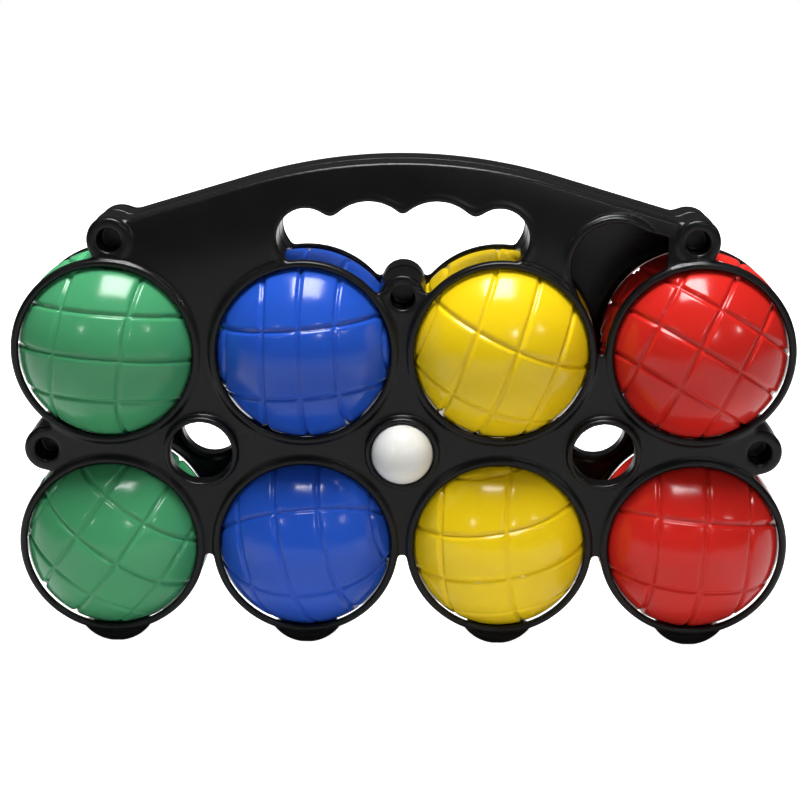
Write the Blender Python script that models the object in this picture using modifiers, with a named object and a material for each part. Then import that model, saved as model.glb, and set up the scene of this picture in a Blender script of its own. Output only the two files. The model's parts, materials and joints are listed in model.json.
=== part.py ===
"""Bocce ball set: eight hollow balls and a target jack held in a two-half moulded carrier.

Metres, +Z up, the front faces -Y.  The origin is under the middle of the carrier, on the
surface that it stands on.  Each half of the carrier is one moulding: a flat plate with a
collar around every ball, a grip with finger scallops, and hollow bosses in which five screws
join the halves back to back.
"""

from math import acos, atan2, cos, hypot, pi, radians, sin, sqrt, tan

import bmesh
import bpy
from mathutils import Matrix, Vector

# Driving dimensions
PITCH_X = 0.0774          # between the columns of balls
PITCH_Z = 0.0795          # between the two rows of balls
BALL_RADIUS = 0.0378
BALL_WALL = 0.0028
JACK_RADIUS = 0.0121
CARRIER_DEPTH = 0.0440    # over the lips of the small holes in both halves
RING_DEPTH = 0.0380       # over the collars of both halves
RING_OUTER = 0.0369       # collar around a ball
RING_INNER = 0.0340
COLLAR_DEPTH = 0.0048
BALL_ROOM = 0.0007        # between a ball and the hollow that it sits in
WALL = 0.0024             # plate and skirts
COLLAR_PROUD = 0.0012     # how far the collars stand in front of the plate
CLEARANCE = 0.0003        # between pieces that touch or rest on each other
HOLE_RADIUS = 0.0124      # the three small holes between the rows
HOLE_LIP = 0.0022
HOLE_X = 0.0793
JACK_SEAT = 0.0112        # radius of the stop behind the jack
JACK_STOP = 0.0005        # how far the stop stands in front of the collars' back
BOSS_RADIUS = 0.0087
BOSS_DRAFT = 0.0006       # how much a boss grows towards the joint
BOSS_SET_BACK = 0.0008    # how far a boss begins behind the plate's front
BOSS_BORE = 0.0047
FOOT_DROP = 0.0062        # from the bottom of a collar to the surface
FOOT_RADIUS = 0.0165
FOOT_SOLE = 0.0080        # width of the flat under a foot
FOOT_START = 0.0036       # how far behind the collar's front a foot begins

# Where things are, worked out from the driving dimensions
FRONT = -CARRIER_DEPTH / 2
RING_FRONT = -RING_DEPTH / 2
JOINT = -CLEARANCE / 2                    # where the front half ends
PLATE_FRONT = RING_FRONT + COLLAR_PROUD
PLATE_BACK = PLATE_FRONT + WALL
COLLAR_BACK = RING_FRONT + COLLAR_DEPTH
LIP_BACK = COLLAR_BACK + 0.0010
PAST = 0.001                              # how far a cutter runs past what it cuts
BOTTOM_Z = FOOT_DROP + RING_OUTER
MIDDLE_Z = BOTTOM_Z + PITCH_Z / 2
TOP_Z = BOTTOM_Z + PITCH_Z
COLUMNS = [(i - 1.5) * PITCH_X for i in range(4)]
CENTRES = [(x, z) for z in (BOTTOM_Z, TOP_Z) for x in COLUMNS]

# Bosses: one between the middle balls, two at the shoulders, two at the ends
BOSSES = {
    "centre": (0.0, MIDDLE_Z + 0.0620),
    "shoulder_left": (-0.1135, MIDDLE_Z + 0.0840),
    "shoulder_right": (0.1135, MIDDLE_Z + 0.0840),
    "end_left": (-0.1408, MIDDLE_Z),
    "end_right": (0.1408, MIDDLE_Z),
}
THREAD_FLOOR = 0.0070     # solid in front of the joint, which takes the thread
HEAD_FLOOR = 0.0050       # solid behind the joint, under the screw's head

# Handle: a long arch with straight shoulders, and a grip of four finger scallops
ARCH_TOP = MIDDLE_Z + 0.1143
ARCH_RADIUS = 0.212
ARCH_ANGLE = radians(16.7)
INNER_SCALLOP = (0.0131, MIDDLE_Z + 0.0816, 0.0182)
OUTER_SCALLOP = (0.0373, MIDDLE_Z + 0.0855, 0.0116)

# The crescent opening beside the outermost ball, in the plate's right-hand shoulder
CRESCENT = (0.0822, MIDDLE_Z + 0.0743, 0.0176)
CRESCENT_TAIL = [(0.078, 0.0910), (0.088, 0.0905), (0.1022, 0.0860), (0.1022, 0.0740),
                 (0.090, 0.0600), (0.0790, 0.0398), (0.0758, 0.0398), (0.068, 0.0600),
                 (0.066, 0.0720)]

SCREW_SHANK = 0.00175
SCREW_HOLE = 0.0021
SCREW_HEAD = 0.0038
SCREW_HEAD_HEIGHT = 0.0024
SCREW_REACH = 0.0058      # how far the tip passes the joint

PLUG_HEAD = 0.0040
PLUG_HEAD_HEIGHT = 0.0011
PLUG_STEM = 0.0030
PLUG_REACH = 0.0045       # how far the stem goes below the ball's surface
# Where each ball's filler plug faces: tilt from straight back, and the way it tilts
PLUG_TURNS = [(24, 35), (38, 160), (18, 260), (31, 75), (42, 300), (15, 120), (35, 10), (27, 215)]

RING_STEPS = 28
LIP_STEPS = 18
BOSS_STEPS = 12
BALL_STEPS = 16

BALL_COLOURS = ["green", "blue", "yellow", "red"]
COLOURS = {
    "green": (0.06, 0.34, 0.15, 1.0),
    "blue": (0.02, 0.09, 0.60, 1.0),
    "yellow": (0.85, 0.73, 0.02, 1.0),
    "red": (0.62, 0.03, 0.02, 1.0),
    "white": (0.85, 0.84, 0.80, 1.0),
    "black": (0.012, 0.012, 0.013, 1.0),
    "steel": (0.55, 0.56, 0.58, 1.0),
}


def clear_scene():
    for obj in list(bpy.data.objects):
        bpy.data.objects.remove(obj, do_unlink=True)


def new_collection(name):
    made = bpy.data.collections.new(name)
    bpy.context.scene.collection.children.link(made)
    return made


def give_material(obj, colour, roughness, metallic=0.0):
    material = bpy.data.materials.new(obj.name + "_material")
    material.use_nodes = True
    shader = material.node_tree.nodes["Principled BSDF"]
    shader.inputs["Base Color"].default_value = COLOURS[colour]
    shader.inputs["Roughness"].default_value = roughness
    shader.inputs["Metallic"].default_value = metallic
    obj.data.materials.clear()
    obj.data.materials.append(material)


def cone_along_y(name, centre, front, back, front_radius, back_radius, steps):
    """A closed cone or cylinder whose axis runs along Y between two depths."""
    mesh = bpy.data.meshes.new(name)
    shape = bmesh.new()
    bmesh.ops.create_cone(shape, cap_ends=True, segments=steps, radius1=back_radius,
                          radius2=front_radius, depth=back - front)
    for vert in shape.verts:
        x, z, height = vert.co
        vert.co = (centre[0] + x, front if height > 0.0 else back, centre[1] + z)
    bmesh.ops.recalc_face_normals(shape, faces=shape.faces)
    shape.to_mesh(mesh)
    shape.free()
    return bpy.data.objects.new(name, mesh)


def disc(name, centre, front, back, radius, steps):
    return cone_along_y(name, centre, front, back, radius, radius, steps)


def slab(name, points, front, back):
    """A flat outline in X and Z, given a thickness along Y."""
    curve = bpy.data.curves.new(name, "CURVE")
    curve.dimensions = "2D"
    curve.fill_mode = "BOTH"
    curve.extrude = (back - front) / 2
    spline = curve.splines.new("POLY")
    spline.use_cyclic_u = True
    spline.points.add(len(points) - 1)
    for point, (x, z) in zip(spline.points, points):
        point.co = (x, z, 0.0, 1.0)
    drawn = bpy.data.objects.new(name, curve)
    bpy.context.scene.collection.objects.link(drawn)
    evaluated = drawn.evaluated_get(bpy.context.evaluated_depsgraph_get())
    solid = bpy.data.objects.new(name, bpy.data.meshes.new_from_object(evaluated))
    bpy.data.objects.remove(drawn, do_unlink=True)
    shape = bmesh.new()
    shape.from_mesh(solid.data)
    bmesh.ops.remove_doubles(shape, verts=shape.verts, dist=0.00001)
    for vert in shape.verts:
        x, z, height = vert.co
        vert.co = (x, front if height > 0.0 else back, z)
    bmesh.ops.recalc_face_normals(shape, faces=shape.faces)
    shape.to_mesh(solid.data)
    shape.free()
    return solid


def turned(name, profile, steps, collection):
    """A solid of revolution about local Z, from a profile of (radius, height) points."""
    mesh = bpy.data.meshes.new(name)
    points = [(radius, 0.0, height) for radius, height in profile]
    mesh.from_pydata(points, [(i, i + 1) for i in range(len(points) - 1)], [])
    obj = bpy.data.objects.new(name, mesh)
    collection.objects.link(obj)
    screw = obj.modifiers.new("turn", "SCREW")
    screw.axis = "Z"
    screw.steps = steps
    screw.render_steps = steps
    screw.use_merge_vertices = True
    screw.merge_threshold = 0.00005
    screw.use_smooth_shade = True
    return obj


def arc(centre, radius, start, end, steps):
    """Points along an arc, both ends included."""
    turn = (end - start) / steps
    angles = [start + turn * i for i in range(steps + 1)]
    return [(centre[0] + radius * cos(a), centre[1] + radius * sin(a)) for a in angles]


def mirrored(points):
    return [(-x, z) for x, z in reversed(points)]


def crossing_angles(first, second):
    """The upper crossing of two circles (x, z, radius), as an angle at each centre."""
    dx, dz = second[0] - first[0], second[1] - first[1]
    apart = hypot(dx, dz)
    along = (first[2] ** 2 - second[2] ** 2 + apart ** 2) / (2 * apart)
    at_first = atan2(dz, dx) + acos(along / first[2])
    x = first[0] + first[2] * cos(at_first)
    z = first[1] + first[2] * sin(at_first)
    return at_first, atan2(z - second[1], x - second[0])


def arch_points(inset):
    """The handle's top edge from the right shoulder to the left one, moved inwards."""
    centre = (0.0, ARCH_TOP - ARCH_RADIUS)
    curved = arc(centre, ARCH_RADIUS - inset, pi / 2 - ARCH_ANGLE, pi / 2, 5)
    shoulder_x = BOSSES["shoulder_right"][0]
    fall = (shoulder_x - curved[0][0]) * tan(ARCH_ANGLE)
    half = [(shoulder_x, curved[0][1] - fall)] + curved
    return half + mirrored(half[:-1])


def grip_points(grow):
    """The grip's scalloped top and round ends, from right to left, moved outwards."""
    inner = (INNER_SCALLOP[0], INNER_SCALLOP[1], INNER_SCALLOP[2] + grow)
    outer = (OUTER_SCALLOP[0], OUTER_SCALLOP[1], OUTER_SCALLOP[2] + grow)
    inner_start, outer_end = crossing_angles(inner, outer)
    middle = acos(-inner[0] / inner[2])
    half = arc(outer[:2], outer[2], radians(-52), outer_end, 8)
    half += arc(inner[:2], inner[2], inner_start, middle, 6)[1:]
    return half + mirrored(half[:-1])


def foot(x):
    """A foot under a collar: the lower half of a round pad with a flat sole."""
    half_sole = FOOT_SOLE / 2
    sole_angle = -pi / 2 + half_sole / FOOT_RADIUS
    drop = -FOOT_RADIUS * sin(sole_angle)
    right = arc((x, drop), FOOT_RADIUS, sole_angle, radians(-5), 5)
    left = [(2 * x - px, pz) for px, pz in reversed(right)]
    return slab("foot", right + left, RING_FRONT + FOOT_START, JOINT)


def plate_solids():
    """The plate, the arch's edge and the walls around its openings."""
    side = COLUMNS[-1]
    low = BOTTOM_Z - 0.0042
    high = TOP_Z + 0.0040
    arch = arch_points(0.0)
    web = [(-side, low), (side, low), (side, high), (-side, high)]
    solids = [
        slab("arch_plate", arch + [(-side, TOP_Z), (side, TOP_Z)], PLATE_FRONT, PLATE_BACK),
        slab("web_plate", web, PLATE_FRONT, PLATE_BACK),
        slab("arch_edge", arch + arch_points(WALL)[::-1], PLATE_FRONT, JOINT),
        slab("grip_wall", grip_points(WALL), PLATE_FRONT, JOINT),
        disc("crescent_wall", CRESCENT[:2], PLATE_FRONT + WALL / 2, LIP_BACK,
             CRESCENT[2] + WALL, RING_STEPS),
    ]
    tab = [(0.1408, -0.0070), (0.1408, 0.0070), (0.1330, 0.0150), (0.1100, 0.0300),
           (0.1100, -0.0300), (0.1330, -0.0150)]
    for way in (-1, 1):
        points = [(way * x, MIDDLE_Z + z) for x, z in tab]
        solids.append(slab("end_tab", points, PLATE_FRONT, PLATE_BACK))
    return solids


def plate_openings():
    """The grip and the crescent beside the outer ball."""
    low = MIDDLE_Z + 0.0640
    grip = grip_points(0.0) + [(-0.036, low + 0.006), (-0.012, low), (0.012, low),
                               (0.036, low + 0.006)]
    tail = [(x, MIDDLE_Z + z) for x, z in CRESCENT_TAIL]
    before, behind = FRONT - PAST, JOINT + PAST
    return [
        slab("grip_opening", grip, before, behind),
        disc("crescent_opening", CRESCENT[:2], before, behind, CRESCENT[2], RING_STEPS),
        slab("crescent_tail", tail, before, behind),
    ]


def holders():
    """Collars, lips, bosses and feet, which stand on the plate."""
    solids = []
    for centre in CENTRES:
        solids.append(disc("collar", centre, RING_FRONT, COLLAR_BACK, RING_OUTER, RING_STEPS))
    for x in (-HOLE_X, 0.0, HOLE_X):
        solids.append(disc("hole_lip", (x, MIDDLE_Z), FRONT, LIP_BACK,
                           HOLE_RADIUS + HOLE_LIP, LIP_STEPS))
    for centre in BOSSES.values():
        solids.append(cone_along_y("boss", centre, PLATE_FRONT + BOSS_SET_BACK, JOINT,
                                   BOSS_RADIUS, BOSS_RADIUS + BOSS_DRAFT, BOSS_STEPS))
    for x in COLUMNS:
        solids.append(foot(x))
    return solids


def ball_room(centre):
    """The round hollow that a ball sits in, its facets half a step off the collar's."""
    mesh = bpy.data.meshes.new("ball_room")
    shape = bmesh.new()
    bmesh.ops.create_uvsphere(shape, u_segments=RING_STEPS, v_segments=20,
                              radius=BALL_RADIUS + BALL_ROOM)
    half_step = Matrix.Rotation(pi / RING_STEPS, 3, "Y")
    turn = half_step @ Matrix.Rotation(pi / 2, 3, "X")
    bmesh.ops.rotate(shape, verts=shape.verts, matrix=turn)
    bmesh.ops.translate(shape, verts=shape.verts, vec=(centre[0], 0.0, centre[1]))
    shape.to_mesh(mesh)
    shape.free()
    return bpy.data.objects.new("ball_room", mesh)


def bores(floor, screw_hole):
    """Room for the balls, the jack and the screws."""
    before, behind = FRONT - PAST, JOINT + PAST
    cutters = []
    for centre in CENTRES:
        cutters.append(disc("collar_bore", centre, before, behind, RING_INNER, RING_STEPS))
        cutters.append(ball_room(centre))
    for x in (-HOLE_X, HOLE_X):
        cutters.append(disc("side_hole", (x, MIDDLE_Z), before, behind, HOLE_RADIUS, LIP_STEPS))
    seat = COLLAR_BACK - JACK_STOP
    cutters.append(disc("jack_hole", (0.0, MIDDLE_Z), before, seat, HOLE_RADIUS, LIP_STEPS))
    cutters.append(disc("jack_seat", (0.0, MIDDLE_Z), before, behind, JACK_SEAT, LIP_STEPS))
    for centre in BOSSES.values():
        cutters.append(disc("boss_bore", centre, before, JOINT - floor, BOSS_BORE, BOSS_STEPS))
        cutters.append(disc("screw_hole", centre, before, behind, screw_hole, BOSS_STEPS))
    return cutters


def carrier_half(name, floor, screw_hole, collection, cutter_parent):
    """One half of the carrier, as the front one lies."""
    stages = [
        ("UNION", "plate", plate_solids()),
        ("DIFFERENCE", "openings", plate_openings()),
        ("UNION", "holders", holders()),
        ("DIFFERENCE", "bores", bores(floor, screw_hole)),
    ]
    body = stages[0][2].pop(0)
    body.name = name
    body.data.name = name
    collection.objects.link(body)
    for operation, label, tools in stages:
        group = bpy.data.collections.new(name + "_" + label)
        cutter_parent.children.link(group)
        for tool in tools:
            group.objects.link(tool)
            tool.hide_render = True
            tool.display_type = "WIRE"
        step = body.modifiers.new(label, "BOOLEAN")
        step.operation = operation
        step.operand_type = "COLLECTION"
        step.collection = group
        step.solver = "EXACT"
    return body


def back_half_from(name, floor, screw_hole, collection, cutter_parent):
    """The back half is the same moulding turned about Z, with deeper screw seats."""
    body = carrier_half(name, floor, screw_hole, collection, cutter_parent)
    bpy.context.view_layer.update()
    evaluated = body.evaluated_get(bpy.context.evaluated_depsgraph_get())
    mesh = bpy.data.meshes.new_from_object(evaluated)
    mesh.transform(body.matrix_world)
    used = [step.collection for step in body.modifiers]
    bpy.data.objects.remove(body, do_unlink=True)
    for group in used:
        for tool in list(group.objects):
            bpy.data.objects.remove(tool, do_unlink=True)
        bpy.data.collections.remove(group)
    turned_half = bpy.data.objects.new(name, mesh)
    turned_half.rotation_euler = (0.0, 0.0, pi)
    collection.objects.link(turned_half)
    return turned_half


def ball_profile():
    """Half section of the hollow ball: up the inside, over the filler hole, down the outside."""
    inner = BALL_RADIUS - BALL_WALL
    step = BALL_RADIUS - PLUG_HEAD_HEIGHT - CLEARANCE
    wide, narrow = PLUG_HEAD + CLEARANCE, PLUG_STEM + CLEARANCE
    inside = arc((0.0, 0.0), inner, -pi / 2, acos(narrow / inner), 5)
    outside = arc((0.0, 0.0), BALL_RADIUS, acos(wide / BALL_RADIUS), -pi / 2, 10)
    inside[0] = (0.0, -inner)
    outside[-1] = (0.0, -BALL_RADIUS)
    return inside + [(narrow, step), (wide, step)] + outside


def plug_profile():
    rim = sqrt(BALL_RADIUS ** 2 - PLUG_HEAD ** 2)
    below = BALL_RADIUS - PLUG_HEAD_HEIGHT
    return [(0.0, BALL_RADIUS - 0.0001), (PLUG_HEAD, rim - 0.0001), (PLUG_HEAD, below),
            (PLUG_STEM, below), (PLUG_STEM, BALL_RADIUS - PLUG_REACH),
            (0.0, BALL_RADIUS - PLUG_REACH)]


def screw_profile():
    seat = -(HEAD_FLOOR + 2 * CLEARANCE)
    top = seat - SCREW_HEAD_HEIGHT
    tip = SCREW_REACH
    return [(0.0, tip), (SCREW_SHANK * 0.6, tip), (SCREW_SHANK, tip - 0.0012),
            (SCREW_SHANK, seat), (SCREW_HEAD, seat), (SCREW_HEAD, top + 0.0008),
            (SCREW_HEAD * 0.75, top), (0.0, top)]


def plug_direction(tilt, around):
    """A direction into the back half of the ball."""
    tilt, around = radians(tilt), radians(around)
    return Vector((sin(tilt) * cos(around), cos(tilt), sin(tilt) * sin(around)))


def make_balls(collection):
    rows = ["bottom", "top"]
    for index, (x, z) in enumerate(CENTRES):
        colour = BALL_COLOURS[index % 4]
        name = "ball_{}_{}".format(colour, rows[index // 4])
        turn = plug_direction(*PLUG_TURNS[index]).to_track_quat("Z", "Y").to_euler()
        ball = turned(name, ball_profile(), BALL_STEPS, collection)
        plug = turned(name + "_plug", plug_profile(), 10, collection)
        for obj in (ball, plug):
            obj.location = (x, 0.0, z)
            obj.rotation_euler = turn
        give_material(ball, colour, 0.25)
        give_material(plug, colour, 0.35)


def make_jack(collection):
    mesh = bpy.data.meshes.new("jack")
    shape = bmesh.new()
    bmesh.ops.create_uvsphere(shape, u_segments=20, v_segments=10, radius=JACK_RADIUS)
    shape.to_mesh(mesh)
    shape.free()
    mesh.shade_smooth()
    jack = bpy.data.objects.new("jack", mesh)
    reach = sqrt((JACK_RADIUS + CLEARANCE) ** 2 - JACK_SEAT ** 2)
    jack.location = (0.0, COLLAR_BACK - JACK_STOP - reach, MIDDLE_Z)
    collection.objects.link(jack)
    give_material(jack, "white", 0.3)


def make_screws(collection):
    for label, (x, z) in BOSSES.items():
        screw = turned("screw_" + label, screw_profile(), 10, collection)
        screw.location = (x, 0.0, z)
        screw.rotation_euler = (pi / 2, 0.0, 0.0)
        give_material(screw, "steel", 0.35, 1.0)


def main():
    clear_scene()
    collection = new_collection("bocce_ball_set")
    cutters = new_collection("cutters")
    back = back_half_from("back_panel", HEAD_FLOOR, SCREW_HOLE, collection, cutters)
    front = carrier_half("front_panel", THREAD_FLOOR, SCREW_HOLE, collection, cutters)
    for half in (front, back):
        give_material(half, "black", 0.35)
    make_balls(collection)
    make_jack(collection)
    make_screws(collection)


main()
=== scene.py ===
"""The looks of a bocce ball set: two moulded carrier halves, eight grooved balls and a jack.

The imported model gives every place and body.  The carrier is one moulding used twice, drawn here
as a smooth solid field so that its edges and inside corners are rounded as a mould leaves them.
"""

import json
from itertools import product
from math import cos, pi, radians, sin

import bmesh
import bpy
import numpy as np
from mathutils import Matrix, Vector


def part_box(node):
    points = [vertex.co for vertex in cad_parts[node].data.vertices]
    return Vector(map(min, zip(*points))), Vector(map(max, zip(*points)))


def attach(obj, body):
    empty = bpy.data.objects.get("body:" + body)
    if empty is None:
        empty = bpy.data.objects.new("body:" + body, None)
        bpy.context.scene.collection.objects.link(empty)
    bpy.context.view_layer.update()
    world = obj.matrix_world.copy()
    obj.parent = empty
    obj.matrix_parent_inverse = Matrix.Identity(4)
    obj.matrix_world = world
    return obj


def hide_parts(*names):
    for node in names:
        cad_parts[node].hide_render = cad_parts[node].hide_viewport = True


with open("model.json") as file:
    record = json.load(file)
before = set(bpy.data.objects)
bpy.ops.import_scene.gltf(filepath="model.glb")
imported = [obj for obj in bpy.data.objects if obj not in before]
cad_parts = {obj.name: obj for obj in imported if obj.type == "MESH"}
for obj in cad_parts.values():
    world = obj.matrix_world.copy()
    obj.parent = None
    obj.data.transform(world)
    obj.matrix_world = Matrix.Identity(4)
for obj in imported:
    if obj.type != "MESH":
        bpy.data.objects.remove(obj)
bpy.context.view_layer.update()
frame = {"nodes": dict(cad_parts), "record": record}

MM = 0.001

# ---------------------------------------------------------------- places, read from the frame
PANEL_LOW, PANEL_HIGH = (Vector(corner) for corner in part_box("front_panel"))
FRONT, JOINT = PANEL_LOW.y, PANEL_HIGH.y
BALL_NODES = [n for n in frame["nodes"] if n.startswith("ball_") and not n.endswith("_plug")]
BOSS_NODES = [n for n in frame["nodes"] if n.startswith("screw_")]


def middle(node):
    low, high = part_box(node)
    return (Vector(low) + Vector(high)) / 2


RING_OUTER = 36.9 * MM
RING_X = PANEL_HIGH.x - RING_OUTER            # centre of the outermost ring
PITCH_X = RING_X * 2 / 3
COLUMNS = [(i - 1.5) * PITCH_X for i in range(4)]
JACK = middle("jack")
MIDDLE_Z = JACK.z
HALF_ROWS = 39.75 * MM
ROWS = (MIDDLE_Z - HALF_ROWS, MIDDLE_Z + HALF_ROWS)
RINGS = [(x, z) for z in ROWS for x in COLUMNS]
BOSSES = [(middle(n).x, middle(n).z) for n in BOSS_NODES]
SHOULDER_X = max(x for x, z in BOSSES if z > MIDDLE_Z + 0.02)
END_X = max(x for x, z in BOSSES)

# ---------------------------------------------------------------- the moulding's own sizes
RING_INNER = 34.0 * MM
RING_FRONT = FRONT + 3.0 * MM
COLLAR_BACK = RING_FRONT + 4.8 * MM
BALL_RADIUS = 37.59 * MM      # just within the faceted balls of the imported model
BALL_ROOM = 38.3 * MM
PLATE_FRONT = RING_FRONT + 1.2 * MM
PLATE_BELOW = 4.2 * MM        # how far the plate goes below the lower row's middle
PLATE_ABOVE = 4 * MM          # how far the web between the rows goes above the upper row's
WALL = 2.4 * MM
HOLE_X = 79.3 * MM
HOLE_RADIUS = 12.4 * MM
HOLE_LIP = 2.2 * MM
JACK_SEAT = 11.2 * MM
JACK_STOP = (-0.5 * MM, 1.0 * MM)    # the stop's front and back, from the collars' back
BOSS_RADIUS = 8.7 * MM
BOSS_FRONT = PLATE_FRONT + 0.8 * MM
BOSS_DRAFT = 0.6 * MM
BOSS_BORE = 4.7 * MM
SCREW_HOLE = 2.1 * MM
THREAD_FLOOR, THREAD_SKIN = 7.0 * MM, 0.7 * MM    # the front half, which takes the screws' tips
HEAD_FLOOR, HEAD_SKIN = 5.0 * MM, -1.0 * MM       # the back half, where the screws pass through
TAB_TIP = 7 * MM                                  # half the height of an end tab at its boss
TAB_SIDE = [(133 * MM, 15 * MM), (110 * MM, 30 * MM), (110 * MM, -30 * MM), (133 * MM, -15 * MM)]
FOOT_RADIUS = 16.5 * MM
FOOT_FRONT = RING_FRONT + 3.6 * MM
FOOT_SOLE = 0.12 * MM
ARCH_TOP = PANEL_HIGH.z
ARCH_RADIUS = 212 * MM
ARCH_ANGLE = radians(16.7)
INNER_SCALLOP = (13.1 * MM, MIDDLE_Z + 81.6 * MM, 18.2 * MM)    # x, z and radius
OUTER_SCALLOP = (37.3 * MM, MIDDLE_Z + 85.5 * MM, 11.6 * MM)
GRIP_BOTTOM = MIDDLE_Z + 66 * MM
GRIP_STEP = 4 * MM            # the grip's outer parts end this much higher
GRIP_HALVES = (43 * MM, 14 * MM)    # half the width above the step, and below it
GRIP_WALL_BOTTOM = MIDDLE_Z + 75 * MM
CRESCENT = (82.2 * MM, MIDDLE_Z + 74.3 * MM, 17.6 * MM)         # x, z and radius
CRESCENT_FRONT = RING_FRONT + 0.4 * MM
# Outline of the crescent's tail in mm, its heights from the middle of the carrier
CRESCENT_TAIL = [(78, 91.0), (88, 90.5), (102.2, 86), (102.2, 74), (90, 60), (79.0, 39.8),
                 (75.8, 39.8), (68, 60), (66, 72)]
LEAN = 3.3 * MM               # how far the handle's rim stands behind the plate
LEAN_WIDTH = 28 * MM          # over which it leans back

# Roundings: an edge is where a shape ends, a fillet is where it meets the others
PLATE_EDGE = 1.1 * MM
WALL_EDGE, WALL_FILLET = 0.9 * MM, 1 * MM
CRESCENT_EDGE = 1.0 * MM
COLLAR_EDGE, COLLAR_FILLET = 1.3 * MM, 1.4 * MM
LIP_EDGE, LIP_FILLET = 1.0 * MM, 1.2 * MM
BOSS_EDGE, BOSS_FILLET = 1.2 * MM, 1.4 * MM
FOOT_EDGE, FOOT_FILLET, FOOT_HOLLOW = 1.8 * MM, 1.6 * MM, 3 * MM
STOP_EDGE = 0.3 * MM
OPENING_FILLET = 0.5 * MM
BORE_FILLET = 0.7 * MM
CORNER, SIDE_CORNER, BOSS_CORNER = 1 * MM, 2 * MM, 3 * MM    # inside corners of the outline
CUSP, END_CUSP = 3 * MM, 5 * MM                              # points between two scallops
CELL = 0.8 * MM               # grid of the field from which the mesh is drawn


# ---------------------------------------------------------------- solid field of one half
def smooth_min(a, b, k):
    h = np.clip(0.5 + 0.5 * (b - a) / k, 0.0, 1.0)
    return b * (1 - h) + a * h - k * h * (1 - h)


def smooth_max(a, b, k):
    return -smooth_min(-a, -b, k)


def disc(x, z, place, radius):
    return np.hypot(x - place[0], z - place[1]) - radius


def nearest(x, z, places):
    """Distance to the nearest of several points."""
    best = np.hypot(x - places[0][0], z - places[0][1])
    for place in places[1:]:
        best = np.minimum(best, np.hypot(x - place[0], z - place[1]))
    return best


def block(x, z, low, high):
    """Signed distance to a rectangle between two corners."""
    dx = np.abs(x - (low[0] + high[0]) / 2) - (high[0] - low[0]) / 2
    dz = np.abs(z - (low[1] + high[1]) / 2) - (high[1] - low[1]) / 2
    outside = np.hypot(np.maximum(dx, 0), np.maximum(dz, 0))
    return outside + np.minimum(np.maximum(dx, dz), 0)


def polygon(x, z, points):
    """Signed distance to a polygon."""
    best = np.full(np.broadcast(x, z).shape, 1.0)
    sign = np.ones_like(best)
    for (ax, az), (bx, bz) in zip(points, points[-1:] + points[:-1]):
        ex, ez = bx - ax, bz - az
        wx, wz = x - ax, z - az
        along = np.clip((wx * ex + wz * ez) / (ex * ex + ez * ez), 0, 1)
        best = np.minimum(best, (wx - ex * along) ** 2 + (wz - ez * along) ** 2)
        over, under, turn = z >= az, z < bz, ex * wz > ez * wx
        crossed = (over & under & turn) | (~over & ~under & ~turn)
        sign = np.where(crossed, -sign, sign)
    return sign * np.sqrt(best)


def slab(flat, y, front, back, rounding):
    """A flat shape given a thickness along Y, with rounded edges."""
    depth = np.abs(y - (front + back) / 2) - (back - front) / 2
    a, b = flat + rounding, depth + rounding
    outside = np.hypot(np.maximum(a, 0), np.maximum(b, 0))
    return outside + np.minimum(np.maximum(a, b), 0) - rounding


def arch(x, z):
    """Distance above the handle's top edge: a long arc with straight shoulders."""
    centre_z = ARCH_TOP - ARCH_RADIUS
    ax, dz = np.abs(x), z - centre_z
    on_arc = ax * cos(ARCH_ANGLE) < dz * sin(ARCH_ANGLE)
    round_part = np.hypot(ax, dz)
    straight = ax * sin(ARCH_ANGLE) + dz * cos(ARCH_ANGLE)
    return np.where(on_arc, round_part, straight) - ARCH_RADIUS


def grip(x, z):
    """The grip's opening; where two scallops meet, the point between them is rounded."""
    wide, narrow = GRIP_HALVES
    top = OUTER_SCALLOP[1]
    shape = block(x, z, (-wide, GRIP_BOTTOM + GRIP_STEP), (wide, top))
    shape = smooth_min(shape, block(x, z, (-narrow, GRIP_BOTTOM), (narrow, top)), CORNER)
    ends = disc(np.abs(x), z, OUTER_SCALLOP[:2], OUTER_SCALLOP[2])
    px, pz, radius = INNER_SCALLOP
    inner = smooth_min(disc(x, z, (-px, pz), radius), disc(x, z, (px, pz), radius), CUSP)
    return smooth_min(smooth_min(shape, inner, CORNER), ends, END_CUSP)


def crescent(x, z):
    tail = [(px * MM, MIDDLE_Z + pz * MM) for px, pz in CRESCENT_TAIL]
    return smooth_min(disc(x, z, CRESCENT[:2], CRESCENT[2]), polygon(x, z, tail), CORNER)


def plate_shape(x, z):
    """The plate seen from the front, before its openings."""
    upper = smooth_max(arch(x, z), ROWS[1] - z, CORNER)
    upper = np.maximum(upper, np.abs(x) - RING_X)
    web = block(x, z, (-RING_X, ROWS[0] - PLATE_BELOW), (RING_X, ROWS[1] + PLATE_ABOVE))
    outline = [(END_X, -TAB_TIP), (END_X, TAB_TIP)] + TAB_SIDE
    tab = polygon(np.abs(x), z - MIDDLE_Z, outline)
    shape = smooth_min(np.minimum(upper, web), tab, SIDE_CORNER)
    shape = smooth_min(shape, nearest(x, z, RINGS) - RING_OUTER, SIDE_CORNER)
    return smooth_min(shape, nearest(x, z, BOSSES) - BOSS_RADIUS, BOSS_CORNER)


def lean(x, z):
    """How far the front of the handle lies behind the plate at the rings."""
    toward = np.clip(1 + arch(x, z) / LEAN_WIDTH, 0, 1)
    return LEAN * toward ** 2


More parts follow.
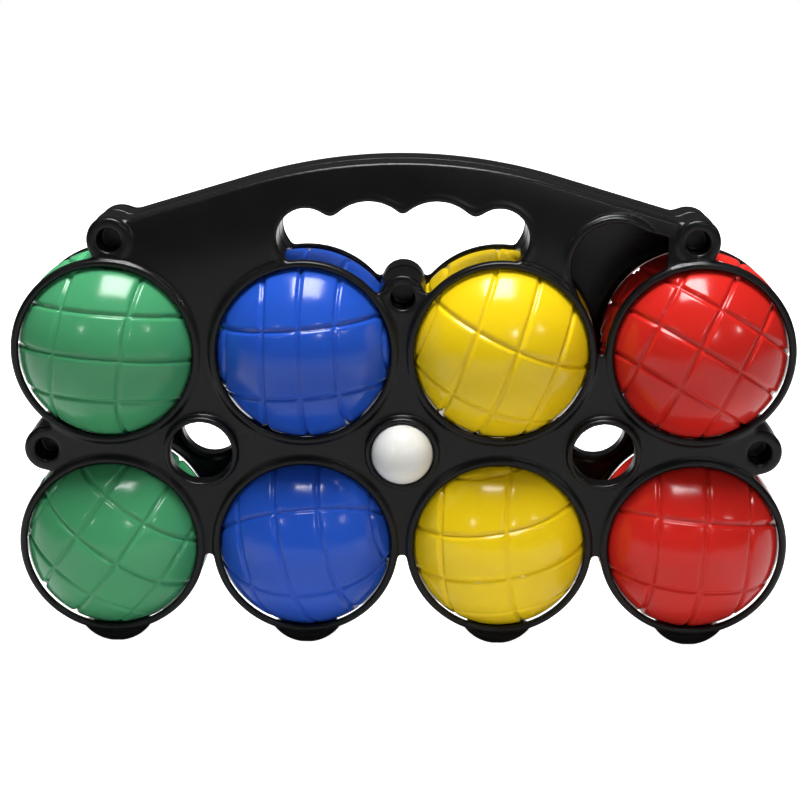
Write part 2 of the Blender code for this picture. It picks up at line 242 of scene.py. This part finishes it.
def handle_shell(x, z, y, back, openings):
    """The handle's outer wall, from the plate back to the joint."""
    top = arch(x, z)
    shell = np.maximum(np.maximum(top, ROWS[1] - z), np.abs(x) - SHOULDER_X)
    shell = slab(shell, y, PLATE_FRONT + back, JOINT, PLATE_EDGE)
    hollow = np.maximum(top + WALL, PLATE_FRONT + WALL - (y - back))
    shell = smooth_max(shell, -hollow, WALL_FILLET)
    return smooth_max(shell, -openings, OPENING_FILLET)


def grip_wall(z, y, back, grip_flat):
    wall = np.maximum(np.maximum(grip_flat - WALL, -grip_flat), GRIP_WALL_BOTTOM - z)
    return slab(wall, y, PLATE_FRONT + back, JOINT, WALL_EDGE)


def crescent_wall(x, z, y, crescent_flat):
    wall = np.maximum(disc(x, z, CRESCENT[:2], CRESCENT[2] + WALL), -crescent_flat)
    return slab(wall, y, CRESCENT_FRONT, COLLAR_BACK, CRESCENT_EDGE)


def ring_wall(distance, inner, outer, y, front, edge):
    """A ring around each place that the distance is measured from, back to the collars' back."""
    return slab(np.maximum(distance - outer, inner - distance), y, front, COLLAR_BACK, edge)


def bosses(from_boss, y):
    growth = BOSS_DRAFT * (y - BOSS_FRONT) / (JOINT - BOSS_FRONT)
    return slab(from_boss - BOSS_RADIUS - growth, y, BOSS_FRONT, JOINT, BOSS_EDGE)


def feet(x, z, y, room):
    """A rounded foot under each column, hollowed for the ball above it."""
    foot = np.full(np.broadcast(x, z).shape, 1.0)
    for column in COLUMNS:
        foot = np.minimum(foot, disc(x, z, (column, FOOT_RADIUS), FOOT_RADIUS))
    foot = np.maximum(foot, FOOT_SOLE - z)
    return smooth_max(slab(foot, y, FOOT_FRONT, JOINT, FOOT_EDGE), -room, FOOT_HOLLOW)


def jack_stop(x, z, y):
    """The narrow step that the jack rests against in the middle hole."""
    from_middle = np.hypot(x, z - MIDDLE_Z)
    step = np.maximum(from_middle - HOLE_RADIUS - 0.5 * MM, JACK_SEAT - from_middle)
    front, back = JACK_STOP
    return slab(step, y, COLLAR_BACK + front, COLLAR_BACK + back, STOP_EDGE)


def moulding(x, y, z, floor, skin):
    """Signed distance to one half of the carrier, negative inside.

    A boss is solid over the floor's depth in front of the joint.  Its screw hole ends a skin's
    thickness short of the bore, or passes through where the skin is negative.
    """
    from_ring = nearest(x, z, RINGS)
    from_hole = nearest(x, z, [(-HOLE_X, MIDDLE_Z), (0.0, MIDDLE_Z), (HOLE_X, MIDDLE_Z)])
    from_boss = nearest(x, z, BOSSES)
    grip_flat, crescent_flat = grip(x, z), crescent(x, z)
    openings = np.minimum(grip_flat, crescent_flat)
    back = lean(x, z)
    room = np.hypot(from_ring, y) - BALL_ROOM

    flat = smooth_max(plate_shape(x, z), -openings, OPENING_FILLET)
    solid = slab(flat, y - back, PLATE_FRONT, PLATE_FRONT + WALL, PLATE_EDGE)
    solid = np.minimum(solid, handle_shell(x, z, y, back, openings))
    solid = smooth_min(solid, grip_wall(z, y, back, grip_flat), WALL_FILLET)
    solid = smooth_min(solid, crescent_wall(x, z, y, crescent_flat), WALL_FILLET)
    collar = ring_wall(from_ring, RING_INNER, RING_OUTER, y, RING_FRONT, COLLAR_EDGE)
    solid = smooth_min(solid, collar, COLLAR_FILLET)
    lip = ring_wall(from_hole, HOLE_RADIUS, HOLE_RADIUS + HOLE_LIP, y, FRONT, LIP_EDGE)
    solid = smooth_min(solid, lip, LIP_FILLET)
    solid = smooth_min(solid, bosses(from_boss, y), BOSS_FILLET)
    solid = smooth_min(solid, feet(x, z, y, room), FOOT_FILLET)

    solid = np.maximum(solid, -np.minimum(room, from_ring - RING_INNER))
    solid = np.maximum(solid, HOLE_RADIUS - from_hole)
    solid = np.minimum(solid, jack_stop(x, z, y))
    bore = np.maximum(from_boss - BOSS_BORE, y - (JOINT - floor))
    drill = np.maximum(from_boss - SCREW_HOLE, JOINT - floor + skin - y)
    return smooth_max(solid, -np.minimum(bore, drill), BORE_FILLET)


# ---------------------------------------------------------------- from a field to a mesh
def build_mesh(name, points, faces):
    """A smooth-shaded mesh object from arrays of points and of quads."""
    mesh = bpy.data.meshes.new(name)
    mesh.vertices.add(len(points))
    mesh.vertices.foreach_set("co", np.asarray(points, dtype=np.float32).ravel())
    mesh.loops.add(faces.size)
    mesh.loops.foreach_set("vertex_index", faces.astype(np.int32).ravel())
    mesh.polygons.add(len(faces))
    starts = np.arange(len(faces), dtype=np.int32) * faces.shape[1]
    mesh.polygons.foreach_set("loop_start", starts)
    mesh.update(calc_edges=True)
    mesh.validate()
    mesh.shade_smooth()
    obj = bpy.data.objects.new(name, mesh)
    bpy.context.scene.collection.objects.link(obj)
    return obj


def surface_net(field, low, high, cell):
    """Quads around every cell edge that the surface crosses, drawn onto the surface.

    Each cell's point starts from the mean of the crossings on the cell's edges.
    """
    axes = [np.arange(low[i], high[i] + cell, cell) for i in range(3)]
    values = field(axes[0][:, None, None], axes[1][None, :, None], axes[2][None, None, :])
    inside = values < 0
    counts = np.zeros([n - 1 for n in inside.shape], dtype=np.uint8)
    for shift in product((0, 1), repeat=3):
        window = tuple(slice(s, n - 1 + s) for s, n in zip(shift, inside.shape))
        counts += inside[window]
    mixed = (counts > 0) & (counts < 8)
    numbers = np.full(mixed.shape, -1, dtype=np.int64)
    total = np.count_nonzero(mixed)
    numbers[mixed] = np.arange(total)
    sums, hits = np.zeros((total, 3)), np.zeros(total)
    quads = []
    for axis in range(3):
        u, v = (axis + 1) % 3, (axis + 2) % 3
        first = np.take(inside, range(inside.shape[axis] - 1), axis)
        second = np.take(inside, range(1, inside.shape[axis]), axis)
        edges = np.argwhere(first != second)
        keep = (edges[:, u] > 0) & (edges[:, v] > 0)
        keep &= (edges[:, u] < mixed.shape[u]) & (edges[:, v] < mixed.shape[v])
        edges = edges[keep]
        leaving = first[tuple(edges.T)]
        start = values[tuple(edges.T)]
        ahead = edges.copy()
        ahead[:, axis] += 1
        crossing = edges * cell + np.array(low)
        crossing[:, axis] += cell * start / (start - values[tuple(ahead.T)])
        corners = []
        for du, dv in ((0, 0), (1, 0), (1, 1), (0, 1)):
            at = edges.copy()
            at[:, u] -= du
            at[:, v] -= dv
            corners.append(numbers[tuple(at.T)])
            hits += np.bincount(corners[-1], minlength=total)
            for i in range(3):
                sums[:, i] += np.bincount(corners[-1], crossing[:, i], minlength=total)
        quad = np.stack(corners, axis=1)
        quad[~leaving] = quad[~leaving][:, ::-1]
        quads.append(quad)
    return project(field, sums / hits[:, None], cell, 3), np.concatenate(quads)


def project(field, points, cell, rounds):
    """Moves points along the field's slope until they lie on its surface."""
    step = cell * 0.02
    for _ in range(rounds):
        x, y, z = points.T
        here = field(x, y, z)
        slope = np.stack([field(x + step, y, z) - here, field(x, y + step, z) - here,
                          field(x, y, z + step) - here], axis=1) / step
        size = np.maximum((slope ** 2).sum(axis=1), 0.2)
        move = -(here / size)[:, None] * slope
        points = points + np.clip(move, -0.5 * cell, 0.5 * cell)
    return points


def make_half(name, floor, skin):
    def field(x, y, z):
        return moulding(x, y, z, floor, skin)

    margin = 2 * CELL
    low = (PANEL_LOW.x - margin, FRONT - margin, -margin)
    high = (PANEL_HIGH.x + margin, JOINT + margin, PANEL_HIGH.z + margin)
    points, quads = surface_net(field, low, high, CELL)
    return build_mesh(name, points, quads)


# ---------------------------------------------------------------- balls
def cube_sphere(count):
    """Unit-sphere points and quads, evenly spread from the six faces of a cube."""
    angles = np.linspace(-pi / 4, pi / 4, count + 1)
    a, b = np.meshgrid(np.tan(angles), np.tan(angles), indexing="ij")
    one = np.ones_like(a)
    sides = [(one, a, b), (-one, b, a), (b, one, a), (a, -one, b), (a, b, one), (b, a, -one)]
    points = np.concatenate([np.stack(side, axis=-1).reshape(-1, 3) for side in sides])
    points /= np.linalg.norm(points, axis=1)[:, None]
    row = np.arange(count)
    corner = (row[:, None] * (count + 1) + row[None, :]).ravel()
    quad = np.stack([corner, corner + count + 1, corner + count + 2, corner + 1], axis=1)
    quads = np.concatenate([quad + side * (count + 1) ** 2 for side in range(6)])
    keys = np.round(points * 1e6).astype(np.int64)
    _, first, back = np.unique(keys, axis=0, return_index=True, return_inverse=True)
    return points[first], back.reshape(-1)[quads]


def unit(azimuth, elevation):
    """A direction: azimuth turns from the front (-Y) to the right (+X), elevation is upwards."""
    azimuth, elevation = radians(azimuth), radians(elevation)
    return np.array([sin(azimuth) * cos(elevation), -cos(azimuth) * cos(elevation),
                     sin(elevation)])


GROOVE_WIDTH = 0.85 * MM
GROOVE_DEPTH = 1.15 * MM
BALL_CELLS = 104              # across each side of the cube that a ball's mesh starts from
JACK_CELLS = 48
PATTERN_FRONT = (1.1, 17.5)   # azimuth and elevation that the patterns face, in degrees
MOST_TURN = 1.45              # a cut turned further than this, in radians, is left out
MOST_OFFSET = 0.97            # and so is one further out than this part of the radius
# Each ball's grooves are two families of flat cuts.  A family is the way its cuts face (turned
# about the pattern's front, then tipped towards it, in degrees), their spacing and offset in mm,
# and how many degrees each cut is tipped more than the one before
PATTERNS = {
    "ball_green_top": ((85, 10, 17, -2.5, 0), (-10, 5, 27, -14, 0)),
    "ball_blue_top": ((0, 5, 17, 1.5, 5), (95, 15, 27, 12, 0)),
    "ball_yellow_top": ((-20, -5, 17, 3, 0), (65, 20, 25, 10, -5)),
    "ball_red_top": ((-28, 5, 18, 1.5, 0), (60, 5, 17, -2, 0)),
    "ball_green_bottom": ((-35, -10, 16, 4, -5), (55, 15, 18, 2, 0)),
    "ball_blue_bottom": ((10, 15, 17, -1, 0), (95, -15, 0, 0, 55)),
    "ball_yellow_bottom": ((100, 20, 18, -4, 0), (0, 15, 27, 11, 0)),
    "ball_red_bottom": ((-5, 0, 18.5, 1.5, 0), (85, 5, 22, 9, -10)),
}


def cuts(facing, tipped, spacing, offset, fan):
    """Directions of one family of flat cuts, and their distances from the ball's centre."""
    out = unit(*PATTERN_FRONT)
    across = np.cross(out, (0.0, 0.0, 1.0))
    across /= -np.linalg.norm(across)
    up = np.cross(out, across)
    facing, tipped = radians(facing), radians(tipped)
    level = cos(facing) * across + sin(facing) * up
    first, ahead = cos(tipped) * level + sin(tipped) * out, cos(tipped) * out - sin(tipped) * level
    for step in range(-4, 5):
        turn, distance = radians(fan * step), spacing * step + offset
        if abs(turn) < MOST_TURN and abs(distance) * MM < MOST_OFFSET * BALL_RADIUS:
            yield cos(turn) * first + sin(turn) * ahead, distance * MM


def make_ball(node, place, sphere):
    """A ball whose surface dips along every cut of its pattern."""
    points, quads = sphere
    radius = np.full(len(points), BALL_RADIUS)
    for family in PATTERNS[node]:
        for direction, distance in cuts(*family):
            beside = points @ direction
            apart = (beside * BALL_RADIUS - distance) / np.sqrt(np.maximum(1 - beside ** 2, 0.05))
            dip = GROOVE_DEPTH * np.exp(-(apart / GROOVE_WIDTH) ** 2)
            radius = np.minimum(radius, BALL_RADIUS - dip)
    name = node.replace("ball_", "grooved_")
    return build_mesh(name, points * radius[:, None] + np.array(place), quads)


# ---------------------------------------------------------------- materials
def new_material(name, colour, roughness):
    material = bpy.data.materials.new(name)
    material.use_nodes = True
    shader = material.node_tree.nodes["Principled BSDF"]
    shader.inputs["Base Color"].default_value = (*colour, 1.0)
    shader.inputs["Roughness"].default_value = roughness
    return material, material.node_tree, shader


def noise(tree, scale, detail=3.0):
    """Noise in the object's own coordinates, in cycles per metre."""
    place = tree.nodes.new("ShaderNodeTexCoord")
    texture = tree.nodes.new("ShaderNodeTexNoise")
    texture.inputs["Scale"].default_value = scale
    texture.inputs["Detail"].default_value = detail
    tree.links.new(place.outputs["Object"], texture.inputs["Vector"])
    return texture.outputs["Fac"]


def spread(tree, factor, low, high):
    """Maps the middle of a noise onto the range from low to high."""
    mapped = tree.nodes.new("ShaderNodeMapRange")
    mapped.inputs["From Min"].default_value = 0.3
    mapped.inputs["From Max"].default_value = 0.7
    mapped.inputs["To Min"].default_value = low
    mapped.inputs["To Max"].default_value = high
    tree.links.new(factor, mapped.inputs["Value"])
    return mapped.outputs["Result"]


def tint(tree, factor, dark, light):
    mix = tree.nodes.new("ShaderNodeMix")
    mix.data_type = "RGBA"
    mix.inputs["A"].default_value = (*dark, 1.0)
    mix.inputs["B"].default_value = (*light, 1.0)
    tree.links.new(factor, mix.inputs["Factor"])
    return mix.outputs["Result"]


def bump(tree, shader, height, strength, distance):
    node = tree.nodes.new("ShaderNodeBump")
    node.inputs["Strength"].default_value = strength
    node.inputs["Distance"].default_value = distance
    tree.links.new(height, node.inputs["Height"])
    tree.links.new(node.outputs["Normal"], shader.inputs["Normal"])


def carrier_plastic():
    material, tree, shader = new_material("carrier_plastic", (0.004, 0.004, 0.004), 0.33)
    shader.inputs["Specular IOR Level"].default_value = 0.32
    colour = tint(tree, noise(tree, 35, 4), (0.0030, 0.0030, 0.0033), (0.0055, 0.0055, 0.0058))
    tree.links.new(colour, shader.inputs["Base Color"])
    tree.links.new(spread(tree, noise(tree, 60, 3), 0.27, 0.33), shader.inputs["Roughness"])
    bump(tree, shader, noise(tree, 1400, 2), 0.12, 0.00012)
    return material


def ball_plastic(name, colour, deep):
    material, tree, shader = new_material(name, colour, 0.16)
    shader.inputs["Specular IOR Level"].default_value = 0.38
    tree.links.new(tint(tree, noise(tree, 30, 3), deep, colour), shader.inputs["Base Color"])
    tree.links.new(spread(tree, noise(tree, 90, 5), 0.13, 0.22), shader.inputs["Roughness"])
    bump(tree, shader, noise(tree, 260, 2), 0.10, 0.00025)
    return material


def steel():
    material, tree, shader = new_material("zinc_steel", (0.55, 0.56, 0.58), 0.35)
    shader.inputs["Metallic"].default_value = 1.0
    tree.links.new(spread(tree, noise(tree, 900, 4), 0.28, 0.45), shader.inputs["Roughness"])
    return material


# The main colour of each plastic, and its deeper shade; the order is that of the columns
BALL_COLOURS = {
    "green": ((0.070, 0.345, 0.150), (0.055, 0.300, 0.125)),
    "blue": ((0.020, 0.095, 0.560), (0.015, 0.075, 0.480)),
    "yellow": ((0.930, 0.680, 0.010), (0.860, 0.570, 0.006)),
    "red": ((0.680, 0.024, 0.016), (0.560, 0.015, 0.011)),
}
WHITE = ((0.82, 0.82, 0.78), (0.76, 0.76, 0.71))


# ---------------------------------------------------------------- the object
def dress(obj, material, body, slot_name, *nodes):
    obj.data.materials.clear()
    obj.data.materials.append(material)
    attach(obj, body)
    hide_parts(*nodes)


def body_of(node):
    for body, nodes in frame["record"]["behaviour"]["bodies"].items():
        if node in nodes:
            return body
    raise ValueError(node)


def make_carrier():
    plastic = carrier_plastic()
    front = make_half("moulded_front_half", THREAD_FLOOR, THREAD_SKIN)
    back = make_half("moulded_back_half", HEAD_FLOOR, HEAD_SKIN)
    back.data.transform(Matrix.Rotation(pi, 4, "Z"))
    dress(front, plastic, "carrier", "carrier", "front_panel")
    dress(back, plastic, "carrier", "carrier", "back_panel")


def make_balls():
    """The grooved balls.  A ball's plug stays as packed and takes the ball's plastic."""
    sphere = cube_sphere(BALL_CELLS)
    for node in BALL_NODES:
        colour = node.split("_")[1]
        column = list(BALL_COLOURS).index(colour)
        row = 0 if node.endswith("bottom") else 1
        ball = make_ball(node, Vector((COLUMNS[column], 0.0, ROWS[row])), sphere)
        name = colour + "_plastic"
        plastic = bpy.data.materials.get(name) or ball_plastic(name, *BALL_COLOURS[colour])
        dress(ball, plastic, body_of(node), colour, node)
        frame["nodes"][node + "_plug"].data.materials[0] = plastic


def make_jack():
    points, quads = cube_sphere(JACK_CELLS)
    low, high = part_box("jack")
    radius = (high[2] - low[2]) / 2
    jack = build_mesh("smooth_jack", points * radius + np.array(JACK), quads)
    dress(jack, ball_plastic("white_plastic", *WHITE), "jack_ball", "white", "jack")


def dress_screws():
    metal = steel()
    for node in BOSS_NODES:
        frame["nodes"][node].data.materials[0] = metal


# ---------------------------------------------------------------- floor, light and camera
AIM = Vector((-1.0 * MM, RING_FRONT, MIDDLE_Z + 69.5 * MM))
AZIMUTH, ELEVATION, ROLL = 0.8, 12.4, 0.11        # in degrees
DISTANCE, LENS, SHIFT = 0.633, 74.0, -0.15        # in m, in mm, and in widths of the picture
SENSOR = 36.0
LIGHT_AIM = (0.0, 0.0, 0.1)
ROOM_GREY = (0.040, 0.040, 0.042, 1.0)            # what the object mirrors all around
WHITE_BACKDROP = (1.0, 1.0, 1.0, 1.0)             # what the camera sees behind it


def make_floor():
    """A pale floor that the camera sees as white as the backdrop."""
    mesh = bpy.data.meshes.new("studio_floor")
    shape = bmesh.new()
    bmesh.ops.create_grid(shape, x_segments=1, y_segments=1, size=3.0)
    shape.to_mesh(mesh)
    shape.free()
    floor = bpy.data.objects.new("studio_floor", mesh)
    bpy.context.scene.collection.objects.link(floor)
    material, tree, shader = new_material("studio_white", (0.42, 0.42, 0.42), 0.9)
    path = tree.nodes.new("ShaderNodeLightPath")
    seen = tree.nodes.new("ShaderNodeMapRange")
    seen.inputs["To Min"].default_value = 0.0
    seen.inputs["To Max"].default_value = 1.0
    tree.links.new(path.outputs["Is Camera Ray"], seen.inputs["Value"])
    shader.inputs["Emission Color"].default_value = (1.0, 1.0, 1.0, 1.0)
    tree.links.new(seen.outputs["Result"], shader.inputs["Emission Strength"])
    mesh.materials.append(material)


def make_light(name, place, target, size, power, mirrored=True):
    """A soft box.  One that isn't mirrored lights the object but gives no highlights."""
    light = bpy.data.lights.new(name, "AREA")
    light.shape = "RECTANGLE"
    light.size, light.size_y = size
    light.energy = power
    obj = bpy.data.objects.new(name, light)
    obj.location = place
    obj.rotation_euler = (Vector(target) - Vector(place)).to_track_quat("-Z", "Y").to_euler()
    obj.visible_glossy = mirrored
    bpy.context.scene.collection.objects.link(obj)


def make_studio():
    world = bpy.data.worlds.new("studio")
    bpy.context.scene.world = world
    world.use_nodes = True
    tree = world.node_tree
    background = tree.nodes["Background"]
    path = tree.nodes.new("ShaderNodeLightPath")
    mix = tree.nodes.new("ShaderNodeMix")
    mix.data_type = "RGBA"
    mix.inputs["A"].default_value = ROOM_GREY
    mix.inputs["B"].default_value = WHITE_BACKDROP
    tree.links.new(path.outputs["Is Camera Ray"], mix.inputs["Factor"])
    tree.links.new(mix.outputs["Result"], background.inputs["Color"])
    make_light("overhead_box", (0.0, -0.12, 1.35), LIGHT_AIM, (0.62, 0.62), 25.0)
    make_light("back_box", (0.0, 0.95, 0.85), LIGHT_AIM, (0.7, 0.7), 40.0, mirrored=False)
    make_light("low_card", (0.0, -0.08, 0.003), (0.0, -0.03, 0.045), (0.34, 0.04), 0.065,
               mirrored=False)
    make_light("front_fill", (0.55, -1.6, 0.9), LIGHT_AIM, (0.12, 0.12), 2.2)
    make_light("front_fill_left", (-0.9, -1.3, 0.85), LIGHT_AIM, (0.08, 0.08), 1.0)
    make_light("front_fill_right", (1.3, -1.0, 0.85), LIGHT_AIM, (0.08, 0.08), 1.2)


def make_camera():
    camera = bpy.data.cameras.new("camera")
    camera.lens = LENS
    camera.sensor_width = SENSOR
    camera.shift_y = SHIFT
    obj = bpy.data.objects.new("camera", camera)
    back = Vector(unit(AZIMUTH, ELEVATION))
    obj.location = AIM + back * DISTANCE
    look = (-back).to_track_quat("-Z", "Y").to_matrix()
    obj.rotation_euler = (look @ Matrix.Rotation(radians(ROLL), 3, "Z")).to_euler()
    bpy.context.scene.collection.objects.link(obj)
    bpy.context.scene.camera = obj


make_carrier()
make_balls()
make_jack()
dress_screws()
make_floor()
make_studio()
make_camera()
bpy.context.scene.view_settings.view_transform = "Standard"
